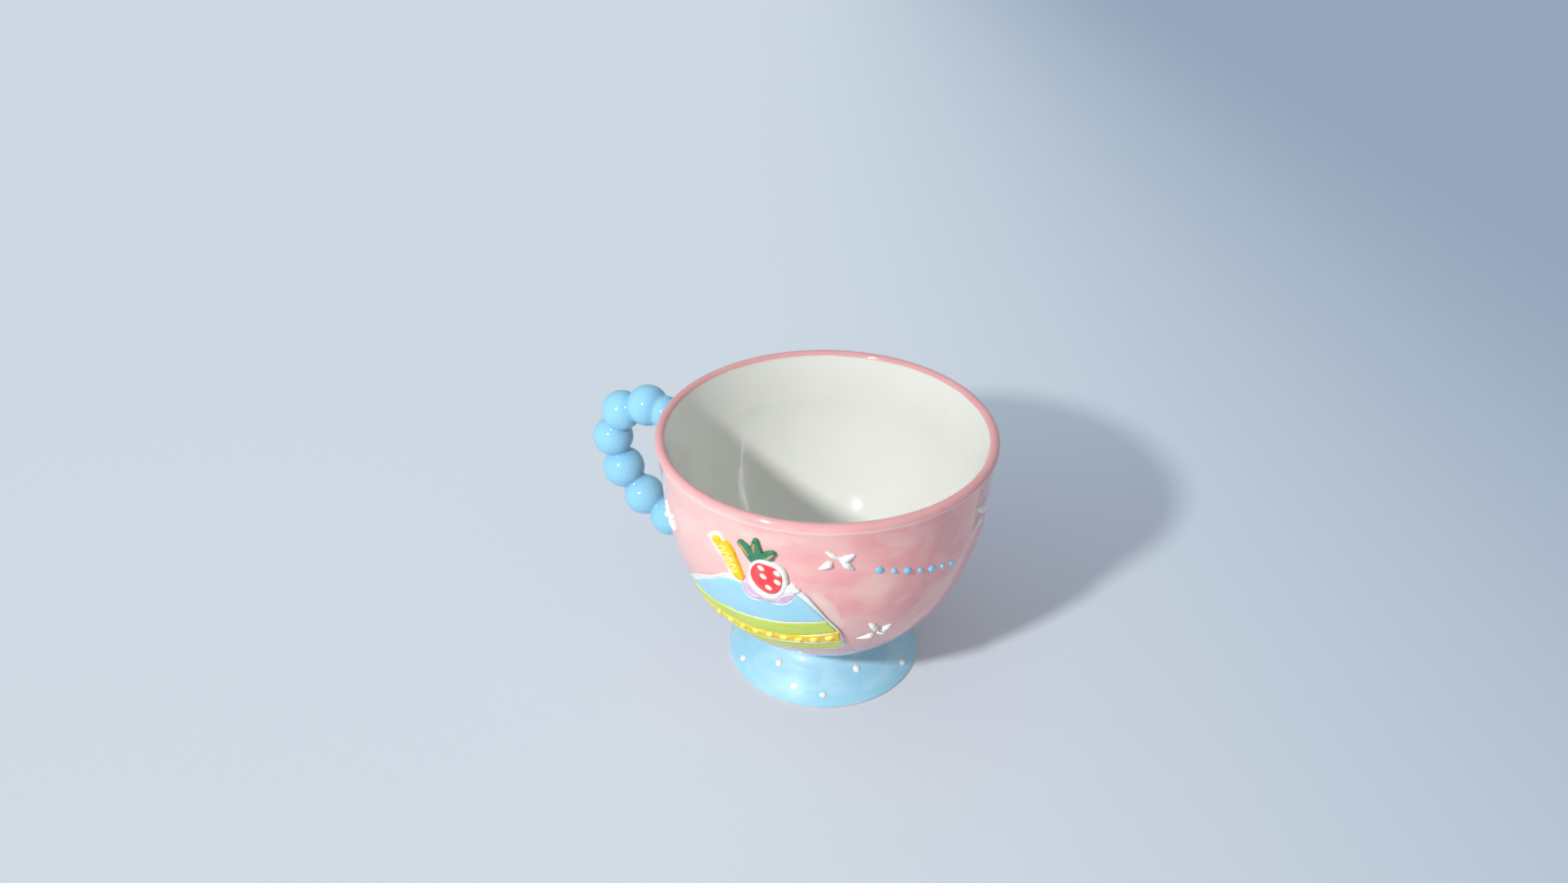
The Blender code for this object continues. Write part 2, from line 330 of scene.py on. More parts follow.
class Bench:
    """Modelling steps that several pieces share."""

    @staticmethod
    def clear() -> None:
        """Leave edit mode and deselect everything."""
        if bpy.context.mode != "OBJECT":
            bpy.ops.object.mode_set(mode="OBJECT")
        bpy.ops.object.select_all(action="DESELECT")

    @staticmethod
    def pick(pieces: Sequence[Thing]) -> None:
        """Select these pieces alone, with the first one active."""
        Bench.clear()
        for piece in pieces:
            piece.select_set(True)
        bpy.context.view_layer.objects.active = pieces[0]

    @staticmethod
    def edit_all(piece: Thing) -> None:
        """Open a mesh in edit mode with all of it selected."""
        Bench.pick([piece])
        bpy.ops.object.mode_set(mode="EDIT")
        bpy.ops.mesh.select_all(action="SELECT")

    @staticmethod
    def close(piece: Thing) -> None:
        """Merge doubled points and turn every face outwards."""
        Bench.edit_all(piece)
        bpy.ops.mesh.remove_doubles(threshold=0.000002)
        bpy.ops.mesh.normals_make_consistent(inside=False)
        bpy.ops.object.mode_set(mode="OBJECT")

    @staticmethod
    def smooth(piece: Thing, shading: Shading) -> Thing:
        """Shade a piece smooth up to its edges."""
        Bench.pick([piece])
        bpy.ops.object.shade_smooth_by_angle(angle=shading.value)
        return piece

    @staticmethod
    def settle(piece: Thing) -> None:
        """Bring a piece's place, turn and size into its mesh."""
        Bench.pick([piece])
        bpy.ops.object.transform_apply(location=True, rotation=True, scale=True)

    @staticmethod
    def modify(piece: Thing, kind: str, **settings: Any) -> None:
        """Apply one modifier.

        Args:
            piece: The piece that takes it.
            kind: The modifier's type.
            settings: Its properties.
        """
        Bench.pick([piece])
        modifier = piece.modifiers.new(kind.lower(), kind)
        for name, value in settings.items():
            setattr(modifier, name, value)
        bpy.ops.object.modifier_apply(modifier=modifier.name)

    @staticmethod
    def joined(name: str, pieces: Sequence[Thing]) -> Thing:
        """Join pieces into one object."""
        Bench.pick(pieces)
        if len(pieces) > 1:
            bpy.ops.object.join()
        pieces[0].name = name
        return pieces[0]

    @staticmethod
    def turned(name: str, section: Sequence[Vector], steps: int) -> Thing:
        """Turn a section round the Z axis.

        Args:
            name: The piece's name.
            section: Points of the section as (radius, height), with its ends on the axis.
            steps: Number of steps round the axis.

        Returns:
            The closed piece.
        """
        Bench.clear()
        bpy.ops.mesh.primitive_plane_add(size=0.001)
        piece = bpy.context.object
        piece.name = name
        bpy.ops.object.mode_set(mode="EDIT")
        bpy.ops.mesh.select_all(action="SELECT")
        bpy.ops.mesh.merge(type="CENTER")
        bpy.ops.transform.translate(value=(section[0].x, 0.0, section[0].y))
        for before, after in zip(section, section[1:]):
            move = (after.x - before.x, 0.0, after.y - before.y)
            bpy.ops.mesh.extrude_region_move(TRANSFORM_OT_translate={"value": move})
        bpy.ops.mesh.select_all(action="SELECT")
        bpy.ops.mesh.spin(steps=steps, angle=math.tau, center=(0.0, 0.0, 0.0), axis=(0.0, 0.0, 1.0))
        Bench.close(piece)
        return piece

    @staticmethod
    def slab(name: str, corners: Sequence[Vector], sharp: Iterable[int], rise: float, shoulder: float,
             sink: float, grid: float) -> Thing:
        """Make a flat slab with round shoulders, cut in a grid so that it can bend.

        Args:
            name: The piece's name.
            corners: Points of its outline.
            sharp: Numbers of the points that stay sharp.
            rise: Height of its top.
            shoulder: Radius of its shoulders.
            sink: Depth of its underside below the wall.
            grid: Distance between two cuts.

        Returns:
            The closed slab.
        """
        Bench.clear()
        bpy.ops.curve.primitive_bezier_circle_add(radius=rise)
        piece = bpy.context.object
        piece.name = name
        outline = piece.data
        outline.dimensions = "2D"
        outline.fill_mode = "BOTH"
        outline.resolution_u = 6
        knots = outline.splines[0].bezier_points
        knots.add(len(corners) - len(knots))
        for knot, corner in zip(knots, corners):
            knot.co = (corner.x, corner.y, 0.0)
        for number, knot in enumerate(knots):
            handle = "VECTOR" if number in sharp else "AUTO"
            knot.handle_left_type = handle
            knot.handle_right_type = handle
        outline.bevel_depth = shoulder
        outline.bevel_resolution = 2
        outline.offset = -shoulder
        outline.extrude = (rise + sink) / 2 - shoulder
        bpy.ops.object.convert(target="MESH")
        piece = bpy.context.object
        Bench.edit_all(piece)
        bpy.ops.transform.translate(value=(0.0, 0.0, (rise - sink) / 2))
        for axis in (Vector((1.0, 0.0, 0.0)), Vector((0.0, 1.0, 0.0))):
            places = [corner.to_3d().dot(axis) for corner in corners]
            for line in range(math.ceil(min(places) / grid), math.floor(max(places) / grid) + 1):
                bpy.ops.mesh.select_all(action="SELECT")
                bpy.ops.mesh.bisect(plane_co=axis * grid * line, plane_no=axis)
        Bench.close(piece)
        return piece

    @staticmethod
    def tube(name: str, points: Sequence[Vector], radii: Sequence[float]) -> Thing:
        """Make a round line through points.

        Args:
            name: The piece's name.
            points: The points that it runs through.
            radii: Its radius at each point.

        Returns:
            The closed line.
        """
        Bench.clear()
        bpy.ops.curve.primitive_bezier_curve_add(radius=max(radii))
        piece = bpy.context.object
        piece.name = name
        line = piece.data
        line.dimensions = "3D"
        line.resolution_u = 6
        knots = line.splines[0].bezier_points
        knots.add(len(points) - len(knots))
        for knot, point, radius in zip(knots, points, radii):
            knot.co = point
            knot.radius = radius / max(radii)
        for knot in knots:
            knot.handle_left_type = "AUTO"
            knot.handle_right_type = "AUTO"
        line.bevel_depth = max(radii)
        line.bevel_resolution = 2
        line.use_fill_caps = True
        bpy.ops.object.convert(target="MESH")
        piece = bpy.context.object
        Bench.close(piece)
        return piece

    @staticmethod
    def drop(name: str, place: Vector, half_sizes: Sequence[float], turn: float = 0.0,
             taper: float = 0.0, segments: int = 20) -> Thing:
        """Make a rounded drop.

        Args:
            name: The piece's name.
            place: Its centre.
            half_sizes: Half its length, width and thickness.
            turn: Its turn in the drawing, in degrees.
            taper: How much narrower it gets towards its far end.
            segments: Faces round it.

        Returns:
            The closed drop.
        """
        Bench.clear()
        bpy.ops.mesh.primitive_uv_sphere_add(
            segments=segments,
            ring_count=segments // 2,
            radius=1.0,
            location=place,
            rotation=(0.0, 0.0, math.radians(turn)),
            scale=half_sizes,
        )
        piece = bpy.context.object
        piece.name = name
        if taper:
            Bench.modify(piece, "SIMPLE_DEFORM", deform_method="TAPER", deform_axis="X", factor=-taper)
        Bench.settle(piece)
        return piece


def points_of(piece: Thing) -> np.ndarray:
    """The places of a mesh's points, a row for each."""
    flat = np.empty(len(piece.data.vertices) * 3, np.float32)
    piece.data.vertices.foreach_get("co", flat)
    return flat.reshape(-1, 3)


def store(piece: Thing, name: str, values: np.ndarray) -> None:
    """Keep a number at each of a mesh's points, for a material to read."""
    numbers = piece.data.attributes.new(name, "FLOAT", "POINT")
    numbers.data.foreach_set("value", values.astype(np.float32))


@dataclass(frozen=True)
class Wall:
    """The bowl's outside, on which the raised work lies."""

    height: float
    lip_radius: float
    lip_thickness: float = 0.0034
    belly_radius: float = 0.0563
    belly_height: float = 0.0780
    drop: float = 0.0685
    flare_start: float = 0.0750
    thickness: float = 0.0038
    floor_thickening: float = 0.0035
    floor_thickening_power: int = 4

    @property
    def lip_height(self) -> float:
        """Height of the centre of the round lip."""
        return self.height - self.lip_thickness / 2

    @property
    def lip_centre(self) -> float:
        """Radius of the centre of the round lip."""
        return self.lip_radius - self.lip_thickness / 2

    def radius_at(self, height: Any) -> Any:
        """Radius of the outside at a height, or at an array of heights."""
        below = np.clip((self.belly_height - height) / self.drop, 0.0, 1.0)
        flare = np.clip((height - self.flare_start) / (self.lip_height - self.flare_start), 0.0, 1.0)
        stand = self.lip_radius - self.belly_radius
        return self.belly_radius * np.sqrt(1 - below**2) + stand * flare**2

    def outer_point(self, turn: float) -> Vector:
        """Point of the outer ellipse at this angle below the belly."""
        return Vector((self.belly_radius * math.cos(turn), self.belly_height - self.drop * math.sin(turn)))

    def outward(self, turn: float) -> Vector:
        """Direction square to the outer ellipse at this angle below the belly."""
        return Vector((math.cos(turn) / self.belly_radius, -math.sin(turn) / self.drop)).normalized()

    def inner_point(self, turn: float) -> Vector:
        """Point of the inside, square to the outer ellipse at this angle below the belly."""
        thickness = self.thickness + self.floor_thickening * math.sin(turn) ** self.floor_thickening_power
        return self.outer_point(turn) - self.outward(turn) * thickness

    def drawn(self, place: Place, rise: float = 0.0) -> Vector:
        """A place of the wall in the flat drawing."""
        return Vector((math.radians(place[0]) * self.belly_radius, place[1], rise))

    def wrap(self, piece: Thing) -> Thing:
        """Bend a flat drawing onto the wall.

        Args:
            piece: The piece, drawn with X round the wall, Y up and Z outwards.

        Returns:
            The same piece, on the wall.
        """
        around, height, rise = points_of(piece).astype(float).T
        azimuth = around / self.belly_radius
        step = 0.0004
        slope = (self.radius_at(height + step) - self.radius_at(height - step)) / (2 * step)
        length = np.sqrt(1 + slope**2)
        reach = self.radius_at(height) + rise / length
        round_wall = np.stack(
            (reach * np.cos(azimuth), reach * np.sin(azimuth), height - rise * slope / length), axis=1
        )
        piece.data.vertices.foreach_set("co", round_wall.astype(np.float32).ravel())
        piece.data.update()
        return piece


@dataclass(frozen=True)
class PlainGlaze:
    """A glossy glaze of one colour with faint clouds and brush marks."""

    name: str
    base: Colour
    deep: Colour
    cloud: float = 0.006
    stretch: tuple[float, float, float] = (1.0, 1.0, 1.0)
    turn: tuple[float, float, float] = (0.0, 0.0, 0.0)
    contrast: float = 0.25
    roughness: float = 0.12
    unevenness: float = 0.00004

    def material(self) -> bpy.types.Material:
        """Make the material."""
        glaze = GlazeNodes(self.name)
        cloudy = glaze.noise(self.cloud, 3.0, self.stretch, self.turn, 0.4)
        share = glaze.step(cloudy, 0.5 - self.contrast, 0.5 + self.contrast)
        colour = glaze.mix(share, self.base, self.deep)
        fine = glaze.noise(self.cloud * 0.6, 2.0, shift=3.0)
        return glaze.finished(colour, self.roughness, glaze.bump(fine, self.unevenness))


@dataclass(frozen=True)
class BowlGlaze:
    """Mottled pink outside, a deeper pink rim and an off-white inside, with a painted sheen on the lit left
    and a painted highlight line below the lip.
    """

    lining: Colour = srgb(229, 230, 224)
    lining_deep: Colour = srgb(223, 224, 216)
    rim: Colour = srgb(226, 172, 171)
    rim_deep: Colour = srgb(217, 154, 157)
    pink: Colour = srgb(241, 182, 178)
    pink_deep: Colour = srgb(235, 163, 162)
    pale: Colour = srgb(234, 204, 199)
    cream: Colour = srgb(240, 220, 204)
    # Colour of a painted highlight line a little below the lip.
    painted_highlight_line: Colour = srgb(242, 216, 210)
    rim_inside: float = -0.0020
    rim_outside: float = 0.0012
    rim_fade: float = 0.0018
    highlight_below_lip: float = 0.0036
    highlight_width: float = 0.00096
    halo: tuple[Place, Place, float] = ((-66.6, 0.0604), (0.0108, 0.0036), -59.0)
    # Middle and half sizes of a painted sheen: a broad pale patch on the lit left of the wall.
    painted_sheen: tuple[Place, Place] = ((-108.0, 0.0740), (0.0350, 0.0340))
    patches: tuple[tuple[Place, Place, float], ...] = (
        ((-45.0, 0.0880), (0.0095, 0.0028), -25.0),
        ((-50.0, 0.0700), (0.0085, 0.0075), 20.0),
        ((-30.0, 0.0560), (0.0110, 0.0030), 40.0),
        ((-84.0, 0.0890), (0.0120, 0.0024), 8.0),
    )
    wash_share: float = 0.40
    streak_share: float = 0.12
    painted_sheen_share: float = 0.55
    patch_share: float = 0.24
    halo_share: float = 0.60
    highlight_share: float = 0.55
    roughness: float = 0.08
    unevenness: float = 0.00022

    def material(self) -> bpy.types.Material:
        """Make the material."""
        glaze = GlazeNodes("bowl glaze")
        along = glaze.attribute("along")
        wobble = (glaze.noise(0.009, 1.0) - 0.5) * 0.0010
        clouds = glaze.step(glaze.noise(0.024, 3.0, (1.0, 1.0, 1.5), (20, 25, 0), 0.8), 0.36, 0.64)
        wash = glaze.step(glaze.noise(0.020, 3.0, (0.8, 0.8, 1.7), (30, -35, 10), 1.2, 5.0), 0.46, 0.74)
        streaks = glaze.step(glaze.noise(0.006, 3.0, (1.0, 1.0, 0.4), (0, 35, 0), 0.5, 9.0), 0.45, 0.75)
        pink = glaze.mix(clouds, self.pink, self.pink_deep)
        pink = glaze.mix(wash * self.wash_share, pink, self.pale)
        pink = glaze.mix(streaks * self.streak_share, pink, self.pale)
        # Painted sheen: a broad pale patch on the lit upper left of the wall stands for light shining on
        # the glaze.
        pink = glaze.mix(glaze.patch(*self.painted_sheen) * self.painted_sheen_share, pink, self.pale)
        for middle, half_sizes, turn in self.patches:
            share = glaze.patch(middle, half_sizes, turn) * self.patch_share
            pink = glaze.mix(share, pink, self.cream)
        pink = glaze.mix(glaze.patch(*self.halo) * self.halo_share, pink, self.cream)
        # Painted highlight: a pale line all round, a little below the lip.
        line = glaze.step(abs(along + wobble - self.highlight_below_lip), self.highlight_width, 0.0)
        pink = glaze.mix(line * self.highlight_share, pink, self.painted_highlight_line)
        rim = glaze.step(along + wobble, self.rim_outside + self.rim_fade, self.rim_outside)
        rim_colour = glaze.mix(glaze.noise(0.012, 2.0, shift=7.0), self.rim, self.rim_deep)
        outside = glaze.mix(rim, pink, rim_colour)
        lining = glaze.mix(glaze.noise(0.03, 2.0), self.lining, self.lining_deep)
        inside = glaze.step(along + wobble * 0.5, self.rim_inside, self.rim_inside - 0.0007)
        colour = glaze.mix(inside, outside, lining)
        waves = glaze.noise(0.011, 2.0, (1.0, 1.0, 0.7), shift=2.0)
        return glaze.finished(colour, self.roughness, glaze.bump(waves, self.unevenness))


@dataclass(frozen=True)
class FootGlaze:
    """Light blue with brush marks round the foot, and bare clay on the standing ring."""

    blue: Colour = srgb(164, 216, 236)
    blue_deep: Colour = srgb(148, 207, 232)
    blue_pale: Colour = srgb(188, 226, 238)
    clay: Colour = srgb(226, 220, 208)
    edge_height: float = 0.0009
    roughness: float = 0.42
    coat: float = 1.0

    def material(self) -> bpy.types.Material:
        """Make the material."""
        glaze = GlazeNodes("foot glaze")
        height = glaze.axes()[2]
        clouds = glaze.step(glaze.noise(0.014, 3.0, (1.0, 1.0, 2.6), distortion=0.6), 0.35, 0.65)
        marks = glaze.step(glaze.noise(0.004, 3.0, (0.5, 0.5, 3.0), shift=4.0), 0.52, 0.75)
        blue = glaze.mix(clouds, self.blue, self.blue_deep)
        blue = glaze.mix(marks * 0.30, blue, self.blue_pale)
        uneven = height + (glaze.noise(0.005, 1.0) - 0.5) * 0.0006
        bare = glaze.step(uneven, self.edge_height, self.edge_height - 0.0004)
        colour = glaze.mix(bare, blue, self.clay)
        waves = glaze.noise(0.008, 2.0, (1.0, 1.0, 1.6))
        roughness = bare * 0.3 + self.roughness
        coat = (1.0 - bare) * self.coat
        return glaze.finished(colour, roughness, glaze.bump(waves, 0.00012), coat)


@dataclass(frozen=True)
class BeadGlaze:
    """Light blue that is a little darker near the creases between beads."""

    blue: Colour = srgb(140, 200, 228)
    crease: Colour = srgb(118, 182, 220)
    pale: Colour = srgb(160, 218, 240)
    roughness: float = 0.09

    def material(self) -> bpy.types.Material:
        """Make the material."""
        glaze = GlazeNodes("bead glaze")
        # Darker blue near the creases between beads.
        near_crease = glaze.attribute("crease") * 0.7
        pale = glaze.mix(glaze.noise(0.006, 2.0) * 0.35, self.blue, self.pale)
        colour = glaze.mix(near_crease, pale, self.crease)
        waves = glaze.noise(0.006, 2.0, shift=1.0)
        return glaze.finished(colour, self.roughness, glaze.bump(waves, 0.00008))


class Glaze(Enum):
    """The plain glazes of the raised work."""

    WHITE = PlainGlaze("white glaze", srgb(240, 240, 238), srgb(230, 230, 226), roughness=0.14)
    BLUE = PlainGlaze("icing glaze", srgb(163, 214, 234), srgb(154, 208, 230), contrast=0.3)
    GREEN = PlainGlaze("sponge glaze", srgb(204, 221, 88), srgb(190, 210, 76), 0.004, (0.4, 0.4, 2.5),
                       contrast=0.2)
    YELLOW = PlainGlaze("cream glaze", srgb(250, 216, 36), srgb(243, 196, 24), 0.0035, contrast=0.14)
    AMBER = PlainGlaze("wafer glaze", srgb(252, 209, 36), srgb(247, 190, 24), 0.003, contrast=0.15)
    PALE_YELLOW = PlainGlaze("pale cream glaze", srgb(253, 238, 130), srgb(250, 220, 76), 0.002)
    LILAC = PlainGlaze("lilac glaze", srgb(224, 194, 216), srgb(206, 170, 202), 0.003, contrast=0.15)
    PALE_LILAC = PlainGlaze("dollop ridge glaze", srgb(244, 224, 238), srgb(236, 212, 230), 0.003)
    STRAW = PlainGlaze("squiggle glaze", srgb(255, 245, 178), srgb(252, 236, 146), 0.002)
    RED = PlainGlaze("berry glaze", srgb(246, 84, 84), srgb(234, 58, 64), 0.004, contrast=0.2)
    LEAF = PlainGlaze("leaf glaze", srgb(62, 134, 98), srgb(46, 114, 84), 0.003, contrast=0.2,
                      roughness=0.3)
    STROKE = PlainGlaze("leaf stroke glaze", srgb(176, 158, 104), srgb(190, 156, 108), 0.003,
                        roughness=0.3)
    DOT_BLUE = PlainGlaze("dot glaze", srgb(142, 206, 238), srgb(120, 190, 230), 0.003)


class Finishes:
    """Hands out each material once."""

    made: dict[str, bpy.types.Material] = {}

    @classmethod
    def dress(cls, piece: Thing, finish: Any) -> Thing:
        """Give a piece one finish.

        Args:
            piece: The piece.
            finish: A finish with a material method, or one of the plain glazes.

        Returns:
            The same piece.
        """
        recipe = finish.value if isinstance(finish, Glaze) else finish
        key = repr(recipe)
        if key not in cls.made:
            cls.made[key] = recipe.material()
        piece.data.materials.clear()
        piece.data.materials.append(cls.made[key])
        return piece


def hand_over(piece: Thing) -> Thing:
    """Let a finished piece ride on the cup's body and stand for its solid."""
    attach(piece, BODY)
    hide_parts(NODE)
    log.info("%s: %d faces", piece.name, len(piece.data.polygons))
    return piece


@dataclass
class Bowl:
    """The turned bowl with its round lip."""

    wall: Wall
    turn_steps: int = 240
    wall_steps: int = 64
    flare_steps: int = 14
    lip_steps: int = 14
    unevenness: float = 0.0007
    cloud_size: float = 0.016
    uneven_fade: float = 0.010
    even_below_lip: float = 0.004
    even_up_to: float = 0.016

    def section(self) -> list[Vector]:
        """Section from the inner floor over the lip to the outside's lowest point."""
        wall = self.wall
        turns = [QUARTER * step / self.wall_steps for step in range(self.wall_steps + 1)]
        inner = [wall.inner_point(turn) for turn in reversed(turns)]
        inner[0].x = 0.0
        heights = [
            wall.belly_height + (wall.lip_height - wall.belly_height) * step / self.flare_steps
            for step in range(1, self.flare_steps)
        ]
        for height in heights:
            share = max(height - wall.flare_start, 0.0) / (wall.lip_height - wall.flare_start)
            thickness = wall.thickness + (wall.lip_thickness - wall.thickness) * share
            inner.append(Vector((float(wall.radius_at(height)) - thickness, height)))
        lip = []
        for step in range(self.lip_steps + 1):
            turn = math.pi * (1 - step / self.lip_steps)
            spoke = Vector((math.cos(turn), math.sin(turn))) * wall.lip_thickness / 2
            lip.append(Vector((wall.lip_centre, wall.lip_height)) + spoke)
        outer = [Vector((float(wall.radius_at(height)), height)) for height in reversed(heights)]
        outer += [wall.outer_point(turn) for turn in turns]
        outer[-1].x = 0.0
        return inner + lip + outer

    def mark_along(self, piece: Thing) -> None:
        """Store the distance from the lip's top at each point, negative on the inside."""
        wall = self.wall
        across, away, height = points_of(piece).astype(float).T
        radius = np.hypot(across, away)
        middle = wall.radius_at(np.minimum(height, wall.lip_height)) - wall.lip_thickness / 2
        side = np.where(radius < middle, -1.0, 1.0)
        on_lip = np.arctan2(radius - wall.lip_centre, height - wall.lip_height) * wall.lip_thickness / 2
        below = side * (math.pi * wall.lip_thickness / 4 + wall.lip_height - height)
        along = np.where(height > wall.lip_height, on_lip, below)
        store(piece, "along", along)
        group = piece.vertex_groups.new(name="uneven")
        weights = np.clip((along - self.even_below_lip) / self.uneven_fade, 0.0, 1.0)
        weights *= np.clip((height - self.even_up_to) / self.uneven_fade, 0.0, 1.0)
        for number in np.flatnonzero(weights > 0):
            group.add([int(number)], float(weights[number]), "REPLACE")

    def build(self) -> Thing:
        """Make the bowl."""
        bowl = Bench.turned("bowl", self.section(), self.turn_steps)
        self.mark_along(bowl)
        clouds = bpy.data.textures.new("hand made wall", "CLOUDS")
        clouds.noise_scale = self.cloud_size
        clouds.noise_depth = 1
        Bench.modify(bowl, "DISPLACE", texture=clouds, texture_coords="LOCAL", strength=self.unevenness,
                     mid_level=0.5, vertex_group="uneven")
        Bench.smooth(bowl, Shading.ROUND)
        return hand_over(Finishes.dress(bowl, BowlGlaze()))


@dataclass
class Foot:
    """The flared foot with its neck and its ring of bare clay."""

    wall: Wall
    radius: float = 0.0358
    edge: float = 0.0008
    skirt_top: tuple[float, float] = (0.0249, 0.0112)
    neck_pull: tuple[float, float] = (0.0205, 0.0152)
    neck_height: float = 0.0170
    bulge: float = 0.0010
    hidden_inset: float = 0.0018
    hidden_steps: int = 8
    ring_width: float = 0.0042
    ring_round: tuple[float, float] = (0.0004, 0.0003)
    recess: float = 0.0011
    turn_steps: int = 200
    neck_steps: int = 14
    skirt_steps: int = 12
    edge_steps: int = 5
    dot_count: int = 11
    dot_start: float = -135.0
    dot_shifts: tuple[float, ...] = (5.0, 0.0, 2.7, -4.2, -1.0, 1.5)
    dot_low: float = 0.0042
    dot_high: float = 0.0092
    dot_radius: float = 0.0013
    dot_rise: float = 0.0008
    dot_change: float = 0.18
    dot_rhythm: float = 2.4

    def skirt_radius(self, height: float) -> float:
        """Radius of the slightly round skirt at a height."""
        share = (self.skirt_top[1] - height) / (self.skirt_top[1] - self.edge)
        bulge = 4 * self.bulge * share * (1 - share)
        return self.skirt_top[0] + (self.radius - self.skirt_top[0]) * share + bulge

    def section(self) -> list[Vector]:
        """Section from the hidden top down the skirt to the recess underneath."""
        wall = self.wall
        last = math.asin((wall.belly_height - self.neck_height) / wall.drop)
        hidden = []
        for step in range(self.hidden_steps + 1):
            turn = QUARTER + (last - QUARTER) * step / self.hidden_steps
            hidden.append(wall.outer_point(turn) - wall.outward(turn) * self.hidden_inset)
        hidden[0].x = 0.0
        start = Vector((float(wall.radius_at(self.neck_height)), self.neck_height))
        pull = Vector(self.neck_pull)
        top = Vector(self.skirt_top)
        neck = []
        for step in range(self.neck_steps + 1):
            share = step / self.neck_steps
            neck.append(start.lerp(pull, share).lerp(pull.lerp(top, share), share))
        skirt = []
        for step in range(1, self.skirt_steps):
            height = top.y + (self.edge - top.y) * step / self.skirt_steps
            skirt.append(Vector((self.skirt_radius(height), height)))
        rounded = []
        for step in range(self.edge_steps + 1):
            turn = QUARTER * step / self.edge_steps
            spoke = Vector((math.cos(turn), -math.sin(turn))) * self.edge
            rounded.append(Vector((self.radius - self.edge, self.edge)) + spoke)
        ring = self.radius - self.edge - self.ring_width
        under = [
            Vector((ring, 0.0)),
            Vector((ring - self.ring_round[0], self.ring_round[1])),
            Vector((ring - 2 * self.ring_round[0], self.recess)),
            Vector((ring * 0.5, self.recess)),
            Vector((0.0, self.recess)),
        ]
        return hidden + neck + skirt + rounded + under

    def dots(self) -> Thing:
        """Make the two staggered rings of white dots on the skirt."""
        slant = math.atan2(self.radius - self.skirt_top[0], self.skirt_top[1] - self.edge)
        made = []
        for number in range(self.dot_count):
            shift = self.dot_shifts[number % len(self.dot_shifts)]
            azimuth = math.radians(self.dot_start + 360 * number / self.dot_count + shift)
            height = self.dot_high if number % 2 else self.dot_low
            size = 1 + self.dot_change * math.sin(self.dot_rhythm * number)
            dot = Bench.drop("foot dot", Vector(), (self.dot_radius * size, self.dot_radius, self.dot_rise))
            radius = self.skirt_radius(height)
            tilt = Matrix.Rotation(azimuth, 4, "Z") @ Matrix.Rotation(math.pi / 2 - slant, 4, "Y")
            outward = Vector((radius * math.cos(azimuth), radius * math.sin(azimuth), height))
            dot.matrix_world = Matrix.Translation(outward) @ tilt
            Bench.settle(dot)
            made.append(dot)
        dots = Bench.joined("foot_dots", made)
        Bench.smooth(dots, Shading.ROUND)
        return hand_over(Finishes.dress(dots, Glaze.WHITE))

    def build(self) -> Thing:
        """Make the foot and its dots."""
        foot = Bench.turned("foot", self.section(), self.turn_steps)
        Bench.smooth(foot, Shading.EDGED)
        hand_over(Finishes.dress(foot, FootGlaze()))
        self.dots()
        return foot


@dataclass
class Handle:
    """The loop of beads, run together by the glaze, each as (reach from the axis, height, radius)."""

    beads: tuple[tuple[float, float, float], ...] = (
        (0.0592, 0.0853, 0.0058), (0.0634, 0.0862, 0.0061), (0.0707, 0.0874, 0.0077),
        (0.0823, 0.0826, 0.0076), (0.0873, 0.0703, 0.0077), (0.0838, 0.0573, 0.0080),
        (0.0754, 0.0468, 0.0078), (0.0644, 0.0399, 0.0077), (0.0534, 0.0343, 0.0072),
        (0.0440, 0.0300, 0.0064),
    )
    bead_segments: int = 48
    voxel: float = 0.00045
    smoothing: int = 9
    crease_reach: float = 0.0045

    def mark_creases(self, piece: Thing, centres: Sequence[Vector]) -> None:
        """Store how near each point lies to a crease between two beads."""
        points = points_of(piece)
        reaches = np.stack([np.linalg.norm(points - np.array(centre), axis=1) for centre in centres])
        reaches.sort(axis=0)
        crease = np.clip(1 - (reaches[1] - reaches[0]) / self.crease_reach, 0.0, 1.0) ** 2
        store(piece, "crease", crease)

    def build(self) -> Thing:
        """Make the handle."""
        centres = [Vector((-reach, 0.0, height)) for reach, height, _ in self.beads]
        made = []
        for centre, (_, _, radius) in zip(centres, self.beads):
            made.append(Bench.drop("bead", centre, (radius,) * 3, segments=self.bead_segments))
        handle = Bench.joined("handle", made)
        Bench.modify(handle, "REMESH", mode="VOXEL", voxel_size=self.voxel)
        Bench.modify(handle, "SMOOTH", factor=0.5, iterations=self.smoothing)
        self.mark_creases(handle, centres)
        Bench.smooth(handle, Shading.ROUND)
        return hand_over(Finishes.dress(handle, BeadGlaze()))


@dataclass(frozen=True)
class Field:
    """One flat area of the raised work: its outline on the wall, its rise and its glaze."""

    name: str
    glaze: Glaze
    rise: float
    places: tuple[Place, ...]
    sharp: tuple[int, ...] = ()
    shoulder: float = 0.00025
    sink: float = 0.0010

    def build(self, wall: Wall, grid: float = 0.0014) -> Thing:
        """Make the area on the wall."""
        corners = [wall.drawn(place).to_2d() for place in self.places]
        slab = Bench.slab(self.name, corners, self.sharp, self.rise, self.shoulder, self.sink, grid)
        wall.wrap(slab)
        Bench.smooth(slab, Shading.EDGED)
        return hand_over(Finishes.dress(slab, self.glaze))


@dataclass(frozen=True)
class Line:
    """A raised line of glaze through places of the wall."""

    radius: float
    rise: float
    places: tuple[Place, ...]
    ends: float = 0.4

    def draw(self, wall: Wall) -> Thing:
        """Make the line in the flat drawing."""
        points = [wall.drawn(place, self.rise) for place in self.places]
        radii = [self.radius * self.ends, *[self.radius] * (len(points) - 2), self.radius * self.ends]
        return Bench.tube("line", points, radii)


def raise_on_wall(name: str, glaze: Glaze, drawn: Sequence[Thing], wall: Wall) -> Thing:
    """Join flat drawings of one glaze and wrap them onto the wall as one piece."""
    piece = wall.wrap(Bench.joined(name, drawn))
    Bench.smooth(piece, Shading.ROUND)
    return hand_over(Finishes.dress(piece, glaze))


